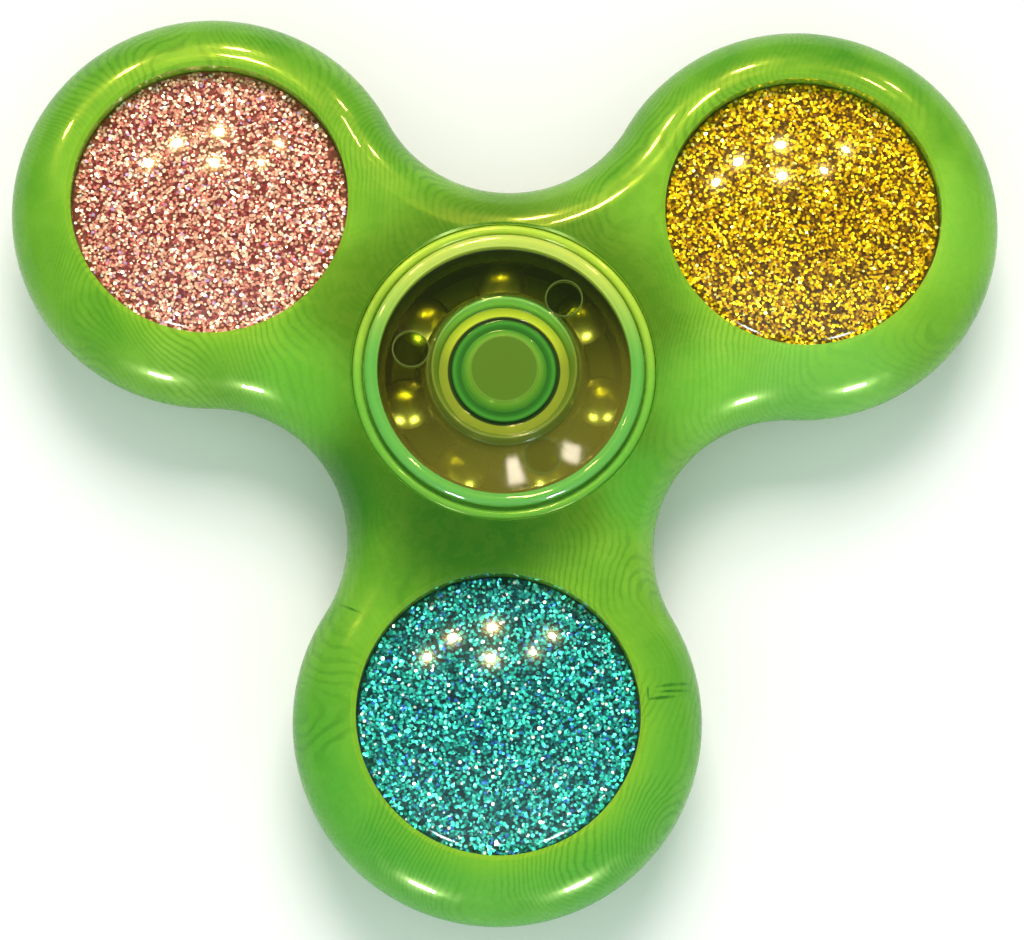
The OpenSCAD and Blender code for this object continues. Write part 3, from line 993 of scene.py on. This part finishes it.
def world():
    """A soft white room. Mirrors see it bright and cool low down on the near side, and dim above and
    beyond. The camera sees it plain."""
    made = bpy.data.worlds.new("room")
    made.use_nodes = True
    bpy.context.scene.world = made
    tree = made.node_tree
    tree.nodes.clear()

    def background(colour, strength):
        shader = tree.nodes.new("ShaderNodeBackground")
        if isinstance(colour, bpy.types.NodeSocket):
            tree.links.new(colour, shader.inputs["Color"])
        else:
            shader.inputs["Color"].default_value = (*colour, 1)
        shader.inputs["Strength"].default_value = strength
        return shader.outputs[0]

    def span(value, low, high, to_low, to_high):
        made = tree.nodes.new("ShaderNodeMapRange")
        made.interpolation_type = "SMOOTHSTEP"
        tree.links.new(value, made.inputs["Value"])
        for key, number in (("From Min", low), ("From Max", high), ("To Min", to_low), ("To Max", to_high)):
            made.inputs[key].default_value = number
        return made.outputs["Result"]

    def choose(switch, no, yes):
        mix = tree.nodes.new("ShaderNodeMixShader")
        tree.links.new(switch, mix.inputs[0])
        tree.links.new(no, mix.inputs[1])
        tree.links.new(yes, mix.inputs[2])
        return mix.outputs[0]

    def near_to_far(start, end, near, far):
        """A colour that runs from the near side of the room to the far side."""
        ramp = tree.nodes.new("ShaderNodeValToRGB")
        for element, place, colour in zip(ramp.color_ramp.elements, (0.0, 1.0), (near, far)):
            element.position, element.color = place, (*colour, 1)
        tree.links.new(span(split.outputs["Y"], start, end, 0.0, 1.0), ramp.inputs["Fac"])
        return ramp.outputs["Color"]

    split = tree.nodes.new("ShaderNodeSeparateXYZ")
    tree.links.new(tree.nodes.new("ShaderNodeTexCoord").outputs["Generated"], split.inputs[0])
    path = tree.nodes.new("ShaderNodeLightPath")
    soft = background(near_to_far(-1.0, 1.0, (0.80, 0.98, 0.87), (0.20, 0.19, 0.18)), 1.12)
    mirrored = background(near_to_far(-0.95, 0.1, (0.80, 0.95, 1.0), (0.10, 0.11, 0.10)), 0.8)
    plain = background((0.93, 0.93, 0.93), 1.0)
    shown = choose(path.outputs["Is Glossy Ray"], soft, mirrored)
    shown = choose(path.outputs["Is Camera Ray"], shown, plain)
    out = tree.nodes.new("ShaderNodeOutputWorld")
    tree.links.new(shown, out.inputs["Surface"])


def camera_place():
    azimuth, tilt, distance = -93.455, 13.893, 298.887
    return direction(azimuth, tilt, distance)


def camera():
    roll = 0.891
    aim = Vector((0.757, -6.429, 0.0)) * MM
    data = bpy.data.cameras.new("camera")
    data.sensor_width = 36.0
    data.lens = 143.714
    data.clip_start, data.clip_end = 0.01, 10.0
    piece = bpy.data.objects.new("camera", data)
    bpy.context.scene.collection.objects.link(piece)
    piece.location = camera_place() * MM
    forward = (aim - piece.location).normalized()
    up = Vector((-math.sin(math.radians(roll)), math.cos(math.radians(roll)), 0))
    right = forward.cross(up).normalized()
    above = right.cross(forward)
    turn = Matrix((right, above, -forward)).transposed()
    piece.rotation_mode = "QUATERNION"
    piece.rotation_quaternion = turn.to_quaternion()
    bpy.context.scene.camera = piece


WARM = (1.0, 0.72, 0.24)
CREAM = (1.0, 0.86, 0.7)
COOL = (0.86, 0.94, 1.0)
LAMPS = {
    "lamp_a": ((-181, 163, 218), 12.0, 1.6), "lamp_b": ((-105, 190, 195), 12.0, 1.6),
    "lamp_c": ((-17, 277, 244), 15.0, 3.0), "lamp_d": ((191, 324, 276), 14.0, 2.4),
    "lamp_e": ((-25, 212, 350), 16.0, 4.0), "lamp_f": ((88, 171, 241), 9.0, 0.9),
}
paper = floor()
world()
camera()
not_the_flakes = receivers("lamp_receivers", all_flakes, excluded=True)
for name, (place, radius, power) in LAMPS.items():
    round_lamp(name, place, radius, power, WARM).light_linking.receiver_collection = not_the_flakes
# The windows stand low, and shine through the clear body on to the domes' edges.
nothing_but_floor = receivers("window_blockers", [paper])
bearing_rings = [frame["nodes"][f"bearing_{n}"] for n in ("outer_race", "inner_race", "cage", "shield_back")]
not_in_the_hub = receivers("window_receivers", [pin, button, *bearing_rings], excluded=True)
for side, azimuth in (("left", 246), ("right", 299)):
    window = area_light(f"window_{side}", direction(azimuth, 80, 420), (68, 48), 2.3, COOL, diffuse=False)
    window.light_linking.blocker_collection = nothing_but_floor
    window.light_linking.receiver_collection = not_in_the_hub
dish_panel("panel_left", (0.9, -7.6), (3.2, 5.0), 0.0014)
dish_panel("panel_right", (5.0, -6.1), (3.8, 3.6), 0.0011)
key = area_light("key_light", direction(90, 38, 900), (500, 500), 6.2, (1.0, 0.93, 0.9))
key.visible_glossy = False
only_flakes = receivers("glint_receivers", all_flakes)
for name, place, size, power in (("glint_near", direction(270, 12, 900), 300, 9.5),
                                 ("glint_far", direction(88, 43, 400), 60, 3.2)):
    glint = area_light(name, place, (size, size), power, CREAM, diffuse=False)
    glint.light_linking.receiver_collection = only_flakes

scene = bpy.context.scene
scene.view_settings.view_transform = "Standard"
scene.view_settings.look = "None"
scene.view_settings.exposure = 0.0
scene.view_settings.gamma = 1.0
